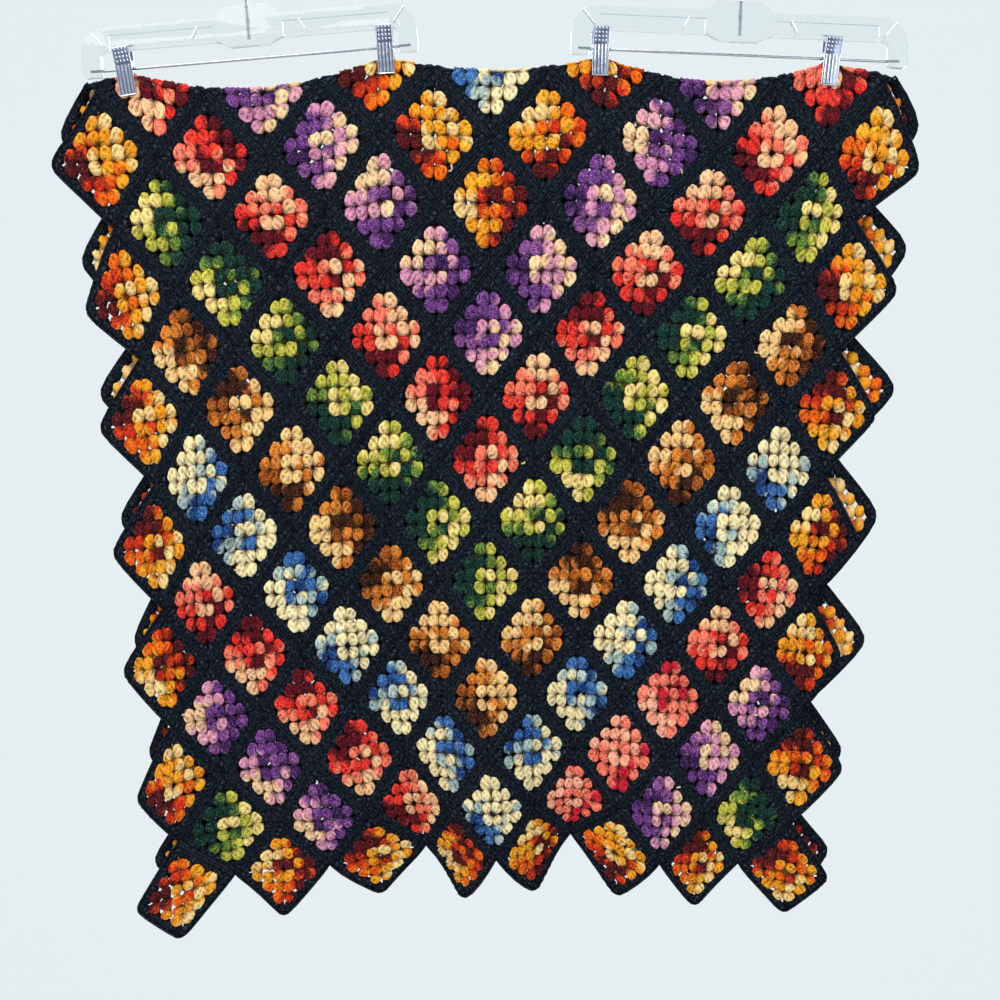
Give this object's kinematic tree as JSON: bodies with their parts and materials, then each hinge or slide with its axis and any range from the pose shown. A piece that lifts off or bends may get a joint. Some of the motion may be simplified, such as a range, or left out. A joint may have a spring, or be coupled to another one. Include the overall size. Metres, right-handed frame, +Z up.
{
  "type": "granny square blanket with clip hangers",
  "caption": "Crocheted granny square blanket, folded in half and hung by its fold from clear plastic clip hangers, with zigzag edges all round.",
  "frame": {"origin": "midway between the bearing points of the two hangers' hooks on the rail that holds them", "axes": "+X across the blanket's front to the right, +Y through it from front to back, +Z up"},
  "size_m": [0.9233, 0.0644, 1.055],
  "materials": {
    "crochet_yarn": "matt wool yarn, black between coloured squares",
    "clear_polystyrene": "clear and glossy",
    "zinc_plated_steel": "bright zinc plate",
    "chrome_plate": "polished"
  },
  "bodies": {
    "root": {"blanket": "crochet_yarn", "left_hanger_body": "clear_polystyrene", "left_hanger_bar": "zinc_plated_steel", "left_hanger_hook": "zinc_plated_steel", "right_hanger_body": "clear_polystyrene", "right_hanger_bar": "zinc_plated_steel", "right_hanger_hook": "zinc_plated_steel", "clip_1_front_jaw": "chrome_plate", "clip_1_back_jaw": "chrome_plate", "clip_1_spring": "zinc_plated_steel", "clip_2_front_jaw": "chrome_plate", "clip_2_back_jaw": "chrome_plate", "clip_2_spring": "zinc_plated_steel", "clip_3_front_jaw": "chrome_plate", "clip_3_back_jaw": "chrome_plate", "clip_3_spring": "zinc_plated_steel", "clip_4_front_jaw": "chrome_plate", "clip_4_back_jaw": "chrome_plate", "clip_4_spring": "zinc_plated_steel"}
  },
  "joints": []
}
